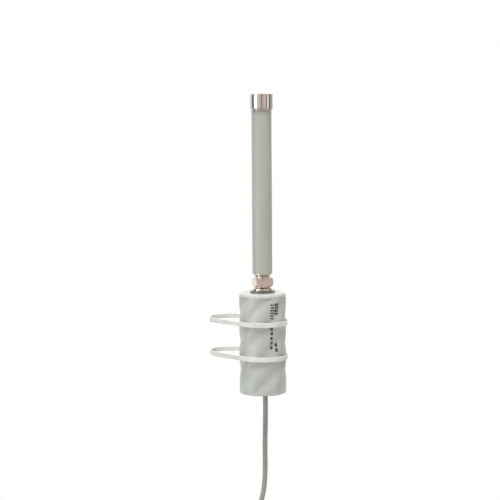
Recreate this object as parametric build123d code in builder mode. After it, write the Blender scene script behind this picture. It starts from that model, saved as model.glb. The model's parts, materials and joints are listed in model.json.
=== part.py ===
from build123d import *

import math
import os

# Omnidirectional antenna on a tubular outdoor radio, strapped to a mast by two cable ties.
#
# Millimetres, +Z up. The origin is on the mast's axis, midway between the two ties. The mast
# itself isn't part of the model. The housing, the connectors and the antenna share one
# vertical axis in front of the mast, towards -Y. The housing is a twisted six-sided tube
# closed by two caps. A coaxial jack on its upper cap carries the screwed-on antenna, and a
# data lead leaves its lower cap and hangs down to a tied coil and a plug.
#
# Names that start with Z_ are heights above the origin, and names that end in _R are radii.

# ---- mast and housing ----
MAST_R = 20.0
MAST_GAP = 0.2  # air between the mast and the housing's ridges
SIDES = 6
FLAT_R = 22.5  # housing axis to the middle of a flat
RIDGE_R = 23.65  # housing axis to a rounded ridge
TWIST_PITCH = 168.0  # height in which a ridge would make one whole turn
RIDGE_START = -3.0  # angle of a ridge at the barrel's lower end, degrees
BORE_R = 20.3
Z_BASE = -54.3  # underside of the lower cap
Z_BARREL = -50.8
Z_BARREL_TOP = 43.7
Z_TOP = 47.7  # upper face of the upper cap
CAP_R = 23.4
UPPER_ROUND = 3.0
LOWER_ROUND = 1.2
SPIGOT_R = 20.2
SPIGOT_BORE_R = 17.2
SPIGOT_LENGTH = 6.0
SEAL_R = 0.9  # O-ring section
SEAL_WIDTH = 2.2
CAP_SCREW_CIRCLE_R = 13.9
CAP_SCREW_COUNT = 3
CAP_SCREW_TURN = 30.0
CAP_SCREW_R = 1.5
CAP_SCREW_LENGTH = 17.0
CAP_SCREW_HEAD_R = 2.8
CAP_SCREW_HEAD = 1.4
DRIVE_R = 1.2  # recess for the driver
DRIVE_DEPTH = 0.9
BOSS_R = 3.2
BOSS_HEIGHT = 10.0
BOSS_ROOT = 0.4  # how far a boss's web runs into the wall
GLAND_R = 4.5  # hole in the lower cap
GROMMET_LIP = 1.7
GROMMET_LIP_HEIGHT = 1.5

HOUSING_Y = -(MAST_R + MAST_GAP + RIDGE_R)
HOUSING_AXIS = Axis((0, HOUSING_Y, 0), (0, 0, 1))
SECTION = Plane(origin=(0, HOUSING_Y, 0), x_dir=(1, 0, 0), z_dir=(0, -1, 0))

# ---- fits ----
CLEAR = 0.1
CLOSE = 0.03  # a fit with no play to speak of

# ---- coaxial connector pair ----
GASKET_R = 12.9
Z_FLANGE = 49.8
FLANGE_R = 10.0
Z_THREAD = 52.1
THREAD_R = 7.9
Z_JACK_FACE = 59.4
JACK_BORE_R = 4.15
JACK_TAIL_R = 6.0
WASHER_R = 9.0
WASHER = 0.9
LOCK_NUT_FLAT_R = 8.0
LOCK_NUT = 3.5
Z_JACK_TAIL = 36.0
JACK_CORE_R = 3.2
CONTACT_R = 1.5
CONTACT_SLOT = 0.3
CONTACT_SLOT_LENGTH = 5.0
PIN_R = 0.8
Z_CONTACT_TOP = 56.5
Z_CONTACT_TAIL = 32.5
NUT_ACROSS_FLATS = 19.0
NUT_TURN = 8.0  # turns one flat of the nut to the antenna's front left, degrees
Z_NUT = 52.9
Z_NUT_WALL = 61.85
Z_NUT_TOP = 63.5
NUT_BORE_R = 8.05
NUT_END_R = 8.7
NUT_CHAMFER = 2.6
NUT_EDGE_ROUND = 0.3
SHANK_R = 7.3
RING_GROOVE = 0.7
RING_GROOVE_HEIGHT = 0.9
RING_GAP_HALF = 1.5
SLEEVE_R = 4.05
SLEEVE_WALL = 0.5
SLEEVE_SLOT = 0.4
SLEEVE_SLOT_LENGTH = 7.0
Z_SLEEVE_TIP = 53.6
PIN_TIP_R = 0.35
PIN_ROOT_R = 1.2
Z_PIN_TIP = 52.8
Z_PIN_ROOT = 61.0
Z_PIN_TOP = 70.0
Z_PLUG_SHOULDER = 60.6
Z_SHANK_TOP = 64.4
STUB_R = 5.0
Z_STUB_TOP = 74.0
Z_FERRULE = 64.5

# ---- antenna ----
RADOME_R = 10.0
RADOME_BORE_R = 8.3
Z_RADOME = 67.1
Z_RADOME_TOP = 242.6
Z_TOP_CAP = 232.4
Z_ANTENNA_TOP = 246.6
TOP_CAP_R = 11.5
TOP_CAP_ROOF = 3.0
Z_CAP_SKIRT = 229.9  # lower edge of the cap's tapered skirt
Z_FERRULE_TOP = 84.0
FERRULE_LIP = 0.4
COAX_R = 1.8
ROD_R = 1.0
Z_CHOKE = 88.0
Z_FEED = 116.0
CHOKE_R = 4.0
CHOKE_WALL = 0.5
Z_FORMER = 145.0
FORMER_HEIGHT = 14.0
FORMER_CORE_R = 3.3
FORMER_FLANGE_R = 5.3
FORMER_FLANGE = 1.2
COIL_WIRE_R = 0.6
COIL_TURNS = 5
COIL_PITCH = 2.0
Z_ROD_END = 228.0
SPACER_LEVELS = (128.0, 180.0, 214.0)
SPACER = 6.0

# ---- radio board, its Y measured from the housing's axis ----
LEAD_OFFSET = -3.0  # the data lead stands this far in front of the housing's axis
BOARD_HALF = 16.6
BOARD_Y = 4.2  # front face of the board
BOARD = 1.6
Z_BOARD = -27.0
Z_BOARD_TOP = 30.0
STANDOFF = 2.0
STANDOFF_R = 2.4
SLED = 2.0
SLED_HALF = 15.0
BOARD_SCREW_X = 14.0
BOARD_SCREW_LEVELS = (-24.5, 27.5)
BOARD_SCREW_R = 1.1
SOCKET_HALF = 8.0
SOCKET_DEPTH = 13.4
SOCKET_LENGTH = 21.0
PLUG_HALF = 5.85
PLUG_DEPTH = 8.0
PLUG_LENGTH = 21.5
PLUG_GRIP = 9.5  # how far the cable runs into the plug
RAIL = 1.5
CARRIER_RIM = (3.0, 6.0)  # below and above the board
CARRIER_WINDOWS = (-10.0, 12.0)
WINDOW_HALF = (8.0, 6.0)
SCREW_HEAD_R = 2.1
SCREW_HEAD = 1.5
SCREW_DRIVE_R = 0.8
CAN_HALF = 12.0
CAN_DEPTH = 4.0
CAN_WALL = 0.3
CAN_Z = (11.0, 25.0)
TRANSFORMER_X = (-14.0, -3.5)
TRANSFORMER_DEPTH = 8.0
TRANSFORMER_Z = (-4.0, 8.5)
CAPACITOR_X = (2.0, 9.5)
Z_CAPACITOR = 2.5
CAPACITOR_R = 3.15
CAPACITOR_DEPTH = 9.0
# The board's chips: left, right, thickness, lower and upper edge.
CHIPS = [
    (-5.0, 5.0, 1.2, 13.0, 23.0),
    (-10.5, -7.0, 0.9, 15.0, 20.0),
    (7.0, 10.0, 0.9, 16.0, 19.0),
    (-13.1, -11.9, 0.7, -16.0, -14.0),
    (-11.1, -9.9, 0.7, -16.0, -14.0),
    (9.9, 11.1, 0.7, -16.0, -14.0),
    (11.9, 13.1, 0.7, -16.0, -14.0),
    (11.5, 15.5, 1.4, -8.0, -4.0),
]

# ---- cable ties ----
TIE_LEVEL = 17.3
TIE_WIDTH = 4.8
TIE = 1.4
TIE_GAP = 0.05
TIE_ROUND = 0.4
HEAD_LENGTH = 7.6
HEAD_WIDTH = 6.8
HEAD_HEIGHT = 5.2
HEAD_ROUND = 1.0
PAWL_WINDOW = 3.4
PAWL_DEPTH = 1.6
PAWL_SHIFT = -0.8
TAIL_STUB = 2.5

# ---- data lead ----
LEAD_R = 2.5
LEAD_Y = HOUSING_Y + LEAD_OFFSET
Z_EXIT = Z_BASE - GROMMET_LIP_HEIGHT
COIL_CENTRE = (0.0, LEAD_Y - 10.0, -216.0)
COIL_INNER_R = 25.0  # centre line of the inner layer of turns
COIL_OUTER_R = 29.33
COIL_LAYER = 3  # turns side by side in the inner layer
TAIL_X = COIL_CENTRE[0] - COIL_OUTER_R
TAIL_Y = COIL_CENTRE[1] + LEAD_R
Z_BOOT = COIL_CENTRE[2] - 34.0
BOOT = 12.0
COIL_TIE_WIDTH = 4.0
COIL_TIE = 1.4
COIL_TIE_GAP = 0.2
BOOT_END_R = LEAD_R + 1.0
BOOT_RIM = 0.8
BOOT_FOOT_ROUND = 1.5
CONTACT_COUNT = 8
CONTACT_PITCH = 1.02
CONTACT_WIDTH = 0.4
CONTACT_LENGTH = 6.0

# The route of the lead from the grommet to the coil, top to bottom.
LEAD_ROUTE = [
    (0.0, LEAD_Y, Z_EXIT),
    (0.0, LEAD_Y, -82.0),
    (-0.7, LEAD_Y + 0.5, -110.0),
    (-0.4, LEAD_Y + 0.2, -137.0),
    (-4.0, LEAD_Y, -159.0),
    (-14.5, LEAD_Y, -177.0),
    (-23.0, LEAD_Y, -196.0),
    (-25.2, LEAD_Y, -214.0),
]

STANDING = (Align.CENTER, Align.CENTER, Align.MIN)  # a solid's foot at its place

os.makedirs("parts", exist_ok=True)


def level(z):
    """A horizontal plane on the housing's axis at height z."""
    return Plane(origin=(0, HOUSING_Y, z))


def lathe(points, mode=Mode.ADD):
    """Turns an outline of (radius, height) points about the housing's axis."""
    with BuildSketch(SECTION, mode=Mode.PRIVATE) as outline:
        with BuildLine():
            Polyline(*points, close=True)
        make_face()
    revolve(outline.sketch, axis=HOUSING_AXIS, mode=mode)


def ring(inner, outer, low, high, mode=Mode.ADD):
    """A plain tube about the housing's axis, or a disc if inner is 0."""
    lathe([(inner, low), (outer, low), (outer, high), (inner, high)], mode)


def block(x, y, z, mode=Mode.ADD):
    """A box between pairs of limits, with y counted from the housing's axis."""
    with Locations((sum(x) / 2, HOUSING_Y + sum(y) / 2, sum(z) / 2)):
        Box(x[1] - x[0], y[1] - y[0], z[1] - z[0], mode=mode)


def peg(x, y, radius, low, high, mode=Mode.ADD):
    """An upright cylinder, with y counted from the housing's axis."""
    with Locations((x, HOUSING_Y + y, (low + high) / 2)):
        Cylinder(radius, high - low, mode=mode)


def stud(x, z, radius, front, back, mode=Mode.ADD):
    """A cylinder along Y between two distances from the housing's axis."""
    with Locations((x, HOUSING_Y + (front + back) / 2, z)):
        Cylinder(radius, back - front, rotation=(90, 0, 0), mode=mode)


def seal_groove(z, mode=Mode.SUBTRACT):
    """The groove that an O-ring lies in, centred on height z."""
    ring(BORE_R - 2 * SEAL_R - 0.05, BORE_R, z - SEAL_WIDTH / 2, z + SEAL_WIDTH / 2, mode)


def keep(builder, name):
    """Labels a finished piece and writes its file."""
    builder.part.label = name
    export_step(builder.part, f"parts/{name}.step")


# =============================== housing ===============================
CORNER = 1 / math.cos(math.pi / SIDES)
RIDGE_ROUND = (FLAT_R * CORNER - RIDGE_R) / (CORNER - 1)
BARREL_HEIGHT = Z_BARREL_TOP - Z_BARREL
Z_BOSS = Z_BARREL + SPIGOT_LENGTH + 0.3
WEB_LENGTH = BORE_R - CAP_SCREW_CIRCLE_R + BOSS_ROOT
WEB_MIDDLE_R = CAP_SCREW_CIRCLE_R + WEB_LENGTH / 2

with BuildSketch(level(Z_BARREL)) as barrel_outline:
    RegularPolygon(FLAT_R, SIDES, major_radius=False, rotation=RIDGE_START)
    fillet(barrel_outline.vertices(), RIDGE_ROUND)

twisted_prism = Solid.extrude_linear_with_rotation(
    barrel_outline.sketch.face(),
    center=(0, HOUSING_Y, Z_BARREL),
    normal=(0, 0, BARREL_HEIGHT),
    angle=360 * BARREL_HEIGHT / TWIST_PITCH,
)

with BuildPart() as housing_barrel:
    add(twisted_prism)
    ring(0, BORE_R, Z_BARREL - 1, Z_BARREL_TOP + 1, Mode.SUBTRACT)
    with BuildSketch(level(Z_BOSS)):
        with PolarLocations(CAP_SCREW_CIRCLE_R, CAP_SCREW_COUNT, start_angle=CAP_SCREW_TURN):
            Circle(BOSS_R)
        with PolarLocations(WEB_MIDDLE_R, CAP_SCREW_COUNT, start_angle=CAP_SCREW_TURN):
            Rectangle(WEB_LENGTH, BOSS_R)
    extrude(amount=BOSS_HEIGHT)
    with Locations(level(Z_BOSS)):
        with PolarLocations(CAP_SCREW_CIRCLE_R, CAP_SCREW_COUNT, start_angle=CAP_SCREW_TURN):
            Hole(CAP_SCREW_R, depth=BOSS_HEIGHT - 1)
keep(housing_barrel, "housing_barrel")

with BuildPart() as top_end_cap:
    ring(0, CAP_R, Z_BARREL_TOP, Z_TOP)
    fillet(top_end_cap.faces().sort_by(Axis.Z)[-1].edges(), UPPER_ROUND)
    ring(SPIGOT_BORE_R, SPIGOT_R, Z_BARREL_TOP - SPIGOT_LENGTH, Z_BARREL_TOP)
    ring(0, JACK_TAIL_R + CLEAR, Z_BARREL_TOP - 1, Z_TOP + 1, Mode.SUBTRACT)
    seal_groove(Z_BARREL_TOP - SPIGOT_LENGTH / 2)
keep(top_end_cap, "top_end_cap")

with BuildPart() as bottom_end_cap:
    ring(0, CAP_R, Z_BASE, Z_BARREL)
    fillet(bottom_end_cap.faces().sort_by(Axis.Z)[0].edges(), LOWER_ROUND)
    ring(SPIGOT_BORE_R, SPIGOT_R, Z_BARREL, Z_BARREL + SPIGOT_LENGTH)
    peg(0, LEAD_OFFSET, GLAND_R, Z_BASE - 1, Z_BARREL + 1, Mode.SUBTRACT)
    seal_groove(Z_BARREL + SPIGOT_LENGTH / 2)
    with Locations(Plane(origin=(0, HOUSING_Y, Z_BASE), x_dir=(1, 0, 0), z_dir=(0, 0, -1))):
        with PolarLocations(CAP_SCREW_CIRCLE_R, CAP_SCREW_COUNT, start_angle=-CAP_SCREW_TURN):
            CounterSinkHole(CAP_SCREW_R + CLEAR, 2 * CAP_SCREW_R)
keep(bottom_end_cap, "bottom_end_cap")

with BuildPart() as end_cap_seals:
    for z in (Z_BARREL + SPIGOT_LENGTH / 2, Z_BARREL_TOP - SPIGOT_LENGTH / 2):
        with Locations((0, HOUSING_Y, z)):
            Torus(BORE_R - SEAL_R - 0.03, SEAL_R)
keep(end_cap_seals, "end_cap_seals")

with BuildPart() as cap_screws:
    with Locations(level(Z_BASE + CLEAR)):
        with PolarLocations(CAP_SCREW_CIRCLE_R, CAP_SCREW_COUNT, start_angle=CAP_SCREW_TURN):
            Cone(CAP_SCREW_HEAD_R, CAP_SCREW_R - CLEAR, CAP_SCREW_HEAD, align=STANDING)
            Cylinder(CAP_SCREW_R - CLEAR, CAP_SCREW_LENGTH, align=STANDING)
            Cylinder(DRIVE_R, DRIVE_DEPTH, align=STANDING, mode=Mode.SUBTRACT)
keep(cap_screws, "bottom_cap_screws")

with BuildPart() as cable_grommet:
    peg(0, LEAD_OFFSET, GLAND_R, Z_BASE, Z_BARREL)
    peg(0, LEAD_OFFSET, GLAND_R + GROMMET_LIP, Z_BARREL, Z_BARREL + GROMMET_LIP_HEIGHT)
    peg(0, LEAD_OFFSET, GLAND_R + GROMMET_LIP, Z_EXIT, Z_BASE)
    fillet(cable_grommet.faces().sort_by(Axis.Z)[0].edges(), 0.6)
    peg(0, LEAD_OFFSET, LEAD_R, Z_EXIT - 1, Z_BARREL + 2, Mode.SUBTRACT)
keep(cable_grommet, "cable_grommet")

# =============================== jack on the upper cap ===============================
with BuildPart() as jack_gasket:
    ring(JACK_TAIL_R + CLEAR, GASKET_R, Z_TOP, Z_FLANGE)
keep(jack_gasket, "jack_gasket")

with BuildPart() as jack_body:
    ring(0, FLANGE_R, Z_FLANGE, Z_THREAD)
    ring(0, THREAD_R, Z_THREAD, Z_JACK_FACE)
    chamfer(jack_body.faces().sort_by(Axis.Z)[-1].edges(), 0.6)
    ring(0, JACK_TAIL_R, Z_JACK_TAIL, Z_FLANGE)
    ring(0, JACK_CORE_R, Z_JACK_TAIL - 1, Z_THREAD + 1, Mode.SUBTRACT)
    ring(0, JACK_BORE_R, Z_THREAD + 1, Z_JACK_FACE + 1, Mode.SUBTRACT)
keep(jack_body, "jack_body")

with BuildPart() as jack_insulator:
    ring(CONTACT_R, JACK_CORE_R - CLOSE, Z_JACK_TAIL + 0.5, Z_THREAD + 0.8)
keep(jack_insulator, "jack_insulator")

with BuildPart() as jack_contact:
    ring(0, CONTACT_R, Z_CONTACT_TAIL, Z_CONTACT_TOP)
    ring(0, PIN_R + 0.05, Z_THREAD, Z_CONTACT_TOP + 1, Mode.SUBTRACT)
    with Locations((0, HOUSING_Y, Z_CONTACT_TOP)):
        with PolarLocations(0, 2, angular_range=180):
            Box(4 * CONTACT_R, CONTACT_SLOT, CONTACT_SLOT_LENGTH, mode=Mode.SUBTRACT)
keep(jack_contact, "jack_contact")

with BuildPart() as jack_lock_washer:
    ring(JACK_TAIL_R + CLEAR, WASHER_R, Z_BARREL_TOP - WASHER, Z_BARREL_TOP)
keep(jack_lock_washer, "jack_lock_washer")

with BuildPart() as jack_lock_nut:
    with BuildSketch(level(Z_BARREL_TOP - WASHER - LOCK_NUT)):
        RegularPolygon(LOCK_NUT_FLAT_R, SIDES, major_radius=False)
        Circle(JACK_TAIL_R + CLOSE, mode=Mode.SUBTRACT)
    extrude(amount=LOCK_NUT)
keep(jack_lock_nut, "jack_lock_nut")

# =============================== radio board ===============================
SLED_Y = BOARD_Y + BOARD + STANDOFF
CARRIER_Z = (Z_BOARD - CARRIER_RIM[0], Z_BOARD_TOP + CARRIER_RIM[1])
SOCKET_TOP = Z_BOARD + SOCKET_LENGTH
PLUG_FRONT = LEAD_OFFSET - PLUG_DEPTH / 2
Z_PLUG_NOSE = SOCKET_TOP - 6.0
Z_PLUG_TAIL = Z_PLUG_NOSE - PLUG_LENGTH

with BuildPart() as carrier:
    block((-SLED_HALF, SLED_HALF), (SLED_Y, SLED_Y + SLED), CARRIER_Z)
    for side in (-1, 1):
        rail_x = side * (SLED_HALF + RAIL / 2)
        block((rail_x - RAIL / 2, rail_x + RAIL / 2), (SLED_Y - RAIL + CLEAR, SLED_Y + SLED), CARRIER_Z)
        for z in BOARD_SCREW_LEVELS:
            stud(side * BOARD_SCREW_X, z, STANDOFF_R, BOARD_Y + BOARD, SLED_Y)
            stud(side * BOARD_SCREW_X, z, BOARD_SCREW_R, BOARD_Y, SLED_Y + SLED + 1, Mode.SUBTRACT)
    for z in CARRIER_WINDOWS:
        block(
            (-WINDOW_HALF[0], WINDOW_HALF[0]),
            (SLED_Y - 1, SLED_Y + SLED + 1),
            (z - WINDOW_HALF[1], z + WINDOW_HALF[1]),
            Mode.SUBTRACT,
        )
keep(carrier, "carrier")

with BuildPart() as main_board:
    block((-BOARD_HALF, BOARD_HALF), (BOARD_Y, BOARD_Y + BOARD), (Z_BOARD, Z_BOARD_TOP))
    fillet(main_board.edges().filter_by(Axis.Y), 1.5)
    for x in (-BOARD_SCREW_X, BOARD_SCREW_X):
        for z in BOARD_SCREW_LEVELS:
            stud(x, z, BOARD_SCREW_R + CLEAR, BOARD_Y - 1, BOARD_Y + BOARD + 1, Mode.SUBTRACT)
keep(main_board, "main_board")

with BuildPart() as board_screws:
    for x in (-BOARD_SCREW_X, BOARD_SCREW_X):
        for z in BOARD_SCREW_LEVELS:
            stud(x, z, BOARD_SCREW_R - CLOSE, BOARD_Y, SLED_Y + SLED / 2)
            stud(x, z, SCREW_HEAD_R, BOARD_Y - SCREW_HEAD, BOARD_Y)
            stud(x, z, SCREW_DRIVE_R, BOARD_Y - SCREW_HEAD, BOARD_Y - SCREW_HEAD / 2, Mode.SUBTRACT)
keep(board_screws, "board_screws")

with BuildPart() as ethernet_jack:
    block(
        (-SOCKET_HALF, SOCKET_HALF), (BOARD_Y - SOCKET_DEPTH, BOARD_Y), (Z_BOARD, SOCKET_TOP)
    )
    block(
        (-PLUG_HALF - CLEAR, PLUG_HALF + CLEAR),
        (PLUG_FRONT - CLEAR, PLUG_FRONT + PLUG_DEPTH + CLEAR),
        (Z_BOARD - 1, Z_PLUG_NOSE + CLEAR),
        Mode.SUBTRACT,
    )
keep(ethernet_jack, "ethernet_jack")

with BuildPart() as inner_plug:
    block(
        (-PLUG_HALF, PLUG_HALF),
        (PLUG_FRONT, PLUG_FRONT + PLUG_DEPTH),
        (Z_PLUG_TAIL, Z_PLUG_NOSE),
    )
    chamfer(inner_plug.faces().sort_by(Axis.Z)[-1].edges(), 0.5)
    peg(0, LEAD_OFFSET, LEAD_R, Z_PLUG_TAIL - 1, Z_PLUG_TAIL + PLUG_GRIP, Mode.SUBTRACT)
keep(inner_plug, "inner_plug")

with BuildPart() as inner_cable:
    peg(0, LEAD_OFFSET, LEAD_R, Z_EXIT, Z_PLUG_TAIL + PLUG_GRIP)
keep(inner_cable, "inner_cable")

with BuildPart() as rf_shield_can:
    block((-CAN_HALF, CAN_HALF), (BOARD_Y - CAN_DEPTH, BOARD_Y), CAN_Z)
    fillet(rf_shield_can.edges().filter_by(Axis.Y), 1.0)
    block(
        (CAN_WALL - CAN_HALF, CAN_HALF - CAN_WALL),
        (BOARD_Y - CAN_DEPTH + CAN_WALL, BOARD_Y + 1),
        (CAN_Z[0] + CAN_WALL, CAN_Z[1] - CAN_WALL),
        Mode.SUBTRACT,
    )
keep(rf_shield_can, "rf_shield_can")

with BuildPart() as poe_transformer:
    block(TRANSFORMER_X, (BOARD_Y - TRANSFORMER_DEPTH, BOARD_Y), TRANSFORMER_Z)
    fillet(poe_transformer.edges().filter_by(Axis.Z), 1.2)
keep(poe_transformer, "poe_transformer")

with BuildPart() as capacitors:
    for x in CAPACITOR_X:
        stud(x, Z_CAPACITOR, CAPACITOR_R, BOARD_Y - CAPACITOR_DEPTH, BOARD_Y)
        fillet(capacitors.faces().sort_by(Axis.Y)[0].edges(), 0.5)
keep(capacitors, "capacitors")

with BuildPart() as board_chips:
    for left, right, thickness, low, high in CHIPS:
        block((left, right), (BOARD_Y - thickness, BOARD_Y), (low, high))
keep(board_chips, "board_chips")

PIGTAIL_X = 7.0
Z_PIGTAIL = 27.3
PIGTAIL_R = 0.6
PIGTAIL_PLUG_R = 1.4
PIGTAIL_PLUG = 2.2
PIGTAIL_BEND_R = 1.2
PIGTAIL_ROUTE = [
    (0, HOUSING_Y, Z_CONTACT_TAIL),
    (0, HOUSING_Y, Z_CONTACT_TAIL - 3.0),
    (PIGTAIL_X - PIGTAIL_PLUG_R - 0.3, HOUSING_Y + BOARD_Y - 1.4, Z_PIGTAIL),
]

with BuildPart() as pigtail_plug:
    stud(PIGTAIL_X, Z_PIGTAIL, PIGTAIL_PLUG_R, BOARD_Y - PIGTAIL_PLUG, BOARD_Y)
keep(pigtail_plug, "pigtail_plug")

with BuildPart() as coax_pigtail:
    with BuildLine() as pigtail_line:
        FilletPolyline(*PIGTAIL_ROUTE, radius=PIGTAIL_BEND_R)
    with BuildSketch(Plane(origin=pigtail_line.line @ 0, z_dir=pigtail_line.line % 0)):
        Circle(PIGTAIL_R)
    sweep(path=pigtail_line.line)
keep(coax_pigtail, "coax_pigtail")

# =============================== plug and nut ===============================
with BuildPart() as plug_body:
    ring(0, SLEEVE_R, Z_SLEEVE_TIP, Z_PLUG_SHOULDER)
    ring(0, SHANK_R, Z_PLUG_SHOULDER, Z_SHANK_TOP)
    ring(0, STUB_R, Z_SHANK_TOP, Z_STUB_TOP)
    ring(SHANK_R - RING_GROOVE, SHANK_R, Z_NUT_WALL - RING_GROOVE_HEIGHT, Z_NUT_WALL, Mode.SUBTRACT)
    ring(0, SLEEVE_R - SLEEVE_WALL, Z_SLEEVE_TIP - 1, Z_SHANK_TOP, Mode.SUBTRACT)
    ring(0, COAX_R + CLEAR, Z_SHANK_TOP - 1, Z_STUB_TOP + 1, Mode.SUBTRACT)
    with Locations((0, HOUSING_Y, Z_SLEEVE_TIP)):
        with PolarLocations(0, 2, angular_range=180):
            Box(3 * SLEEVE_R, SLEEVE_SLOT, SLEEVE_SLOT_LENGTH, mode=Mode.SUBTRACT)
keep(plug_body, "plug_body")

with BuildPart() as plug_pin:
    lathe(
        [
            (0, Z_PIN_TIP),
            (PIN_TIP_R, Z_PIN_TIP),
            (PIN_R, Z_SLEEVE_TIP),
            (PIN_R, Z_PIN_ROOT),
            (PIN_ROOT_R, Z_PIN_ROOT),
            (PIN_ROOT_R, Z_PIN_TOP),
            (0, Z_PIN_TOP),
        ]
    )
keep(plug_pin, "plug_pin")

with BuildPart() as plug_insulator:
    ring(PIN_ROOT_R, SLEEVE_R - SLEEVE_WALL - CLOSE, Z_PIN_ROOT, Z_SHANK_TOP - CLOSE)
keep(plug_insulator, "plug_insulator")

with BuildPart() as plug_gasket:
    ring(SLEEVE_R + 0.6, SHANK_R, Z_JACK_FACE + CLEAR, Z_PLUG_SHOULDER)
keep(plug_gasket, "plug_gasket")

with BuildPart() as snap_ring:
    ring(
        SHANK_R - RING_GROOVE + CLOSE,
        NUT_BORE_R - CLEAR,
        Z_NUT_WALL - RING_GROOVE_HEIGHT + CLEAR,
        Z_NUT_WALL - CLEAR,
    )
    block(
        (-RING_GAP_HALF, RING_GAP_HALF), (0, FLANGE_R), (Z_NUT_WALL - 1, Z_NUT_WALL), Mode.SUBTRACT
    )
keep(snap_ring, "snap_ring")

NUT_CORNER_R = NUT_ACROSS_FLATS / 2 * CORNER

with BuildPart() as coupling_nut:
    with BuildSketch(level(Z_NUT)):
        RegularPolygon(NUT_ACROSS_FLATS / 2, SIDES, major_radius=False, rotation=NUT_TURN)
    extrude(amount=Z_NUT_TOP - Z_NUT)
    fillet(coupling_nut.edges().filter_by(Axis.Z), NUT_EDGE_ROUND)
    lathe(
        [
            (0, Z_NUT),
            (NUT_END_R, Z_NUT),
            (NUT_CORNER_R, Z_NUT + NUT_CHAMFER),
            (NUT_CORNER_R, Z_NUT_TOP - NUT_CHAMFER),
            (NUT_END_R, Z_NUT_TOP),
            (0, Z_NUT_TOP),
        ],
        Mode.INTERSECT,
    )
    ring(0, NUT_BORE_R, Z_NUT - 1, Z_NUT_WALL, Mode.SUBTRACT)
    ring(0, SHANK_R + CLEAR, Z_NUT, Z_NUT_TOP + 1, Mode.SUBTRACT)
keep(coupling_nut, "coupling_nut")

# =============================== antenna ===============================
with BuildPart() as base_ferrule:
    lathe(
        [
            (STUB_R + CLOSE, Z_FERRULE),
            (SHANK_R, Z_FERRULE),
            (RADOME_R - 2 * FERRULE_LIP, Z_RADOME - 2 * FERRULE_LIP),
            (RADOME_R - FERRULE_LIP, Z_RADOME - FERRULE_LIP),
            (RADOME_R - FERRULE_LIP, Z_RADOME),
            (RADOME_BORE_R - CLEAR, Z_RADOME),
            (RADOME_BORE_R - CLEAR, Z_FERRULE_TOP),
            (COAX_R + CLEAR, Z_FERRULE_TOP),
            (COAX_R + CLEAR, Z_STUB_TOP + 1),
            (STUB_R + CLOSE, Z_STUB_TOP + 1),
        ]
    )
keep(base_ferrule, "base_ferrule")

with BuildPart() as radome_tube:
    ring(RADOME_BORE_R, RADOME_R, Z_RADOME, Z_RADOME_TOP)
keep(radome_tube, "radome_tube")

with BuildPart() as top_cap:
    lathe(
        [
            (0, Z_CAP_SKIRT),
            (RADOME_R + 0.4, Z_CAP_SKIRT),
            (TOP_CAP_R, Z_TOP_CAP),
            (TOP_CAP_R, Z_ANTENNA_TOP),
            (0, Z_ANTENNA_TOP),
        ]
    )
    fillet(top_cap.faces().sort_by(Axis.Z)[-1].edges(), 0.9)
    ring(0, RADOME_R + 0.05, Z_CAP_SKIRT - 1, Z_ANTENNA_TOP - TOP_CAP_ROOF, Mode.SUBTRACT)
keep(top_cap, "top_cap")

with BuildPart() as top_cap_seal:
    ring(RADOME_BORE_R, RADOME_R - CLEAR, Z_RADOME_TOP, Z_ANTENNA_TOP - TOP_CAP_ROOF)
keep(top_cap_seal, "top_cap_seal")

with BuildPart() as feed_coax:
    ring(0, COAX_R, Z_PIN_TOP + CLEAR, Z_FEED - 1.0)
keep(feed_coax, "feed_coax")

with BuildPart() as choke_sleeve:
    ring(CHOKE_R - CHOKE_WALL, CHOKE_R, Z_CHOKE, Z_FEED)
    ring(ROD_R + 0.6, CHOKE_R, Z_FEED - 1.0, Z_FEED)
keep(choke_sleeve, "choke_sleeve")

Z_ROD_GAP = Z_FORMER + FORMER_HEIGHT / 2

with BuildPart() as lower_radiator:
    ring(0, ROD_R, Z_FEED - 1.0, Z_ROD_GAP - 0.5)
keep(lower_radiator, "lower_radiator")

with BuildPart() as upper_radiator:
    ring(0, ROD_R, Z_ROD_GAP + 0.5, Z_ROD_END)
keep(upper_radiator, "upper_radiator")

with BuildPart() as coil_former:
    ring(ROD_R + CLOSE, FORMER_CORE_R, Z_FORMER, Z_FORMER + FORMER_HEIGHT)
    ring(ROD_R + CLOSE, FORMER_FLANGE_R, Z_FORMER, Z_FORMER + FORMER_FLANGE)
    ring(
        ROD_R + CLOSE,
        FORMER_FLANGE_R,
        Z_FORMER + FORMER_HEIGHT - FORMER_FLANGE,
        Z_FORMER + FORMER_HEIGHT,
    )
keep(coil_former, "coil_former")

with BuildPart() as phasing_coil:
    with BuildLine() as winding:
        Helix(
            COIL_PITCH,
            COIL_PITCH * COIL_TURNS,
            FORMER_CORE_R + COIL_WIRE_R + 0.1,
            center=(0, HOUSING_Y, Z_ROD_GAP - COIL_PITCH * COIL_TURNS / 2),
        )
    with BuildSketch(Plane(origin=winding.line @ 0, z_dir=winding.line % 0)):
        Circle(COIL_WIRE_R)
    sweep(path=winding.line, is_frenet=True)
keep(phasing_coil, "phasing_coil")

with BuildPart() as foam_spacers:
    for z in SPACER_LEVELS:
        ring(ROD_R + CLOSE, RADOME_BORE_R - CLEAR, z, z + SPACER)
keep(foam_spacers, "foam_spacers")

# =============================== cable ties ===============================
# The strap's straight stretches touch both circles, and LEAN is their angle to the Y axis.
LEAN = math.asin((RIDGE_R + TIE_GAP - MAST_R) / -HOUSING_Y)
STRETCH_MIDDLE = (
    (MAST_R + TIE) * math.cos(LEAN) - HOUSING_Y / 2 * math.sin(LEAN),
    (MAST_R + TIE) * math.sin(LEAN) + HOUSING_Y / 2 * math.cos(LEAN),
)


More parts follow.
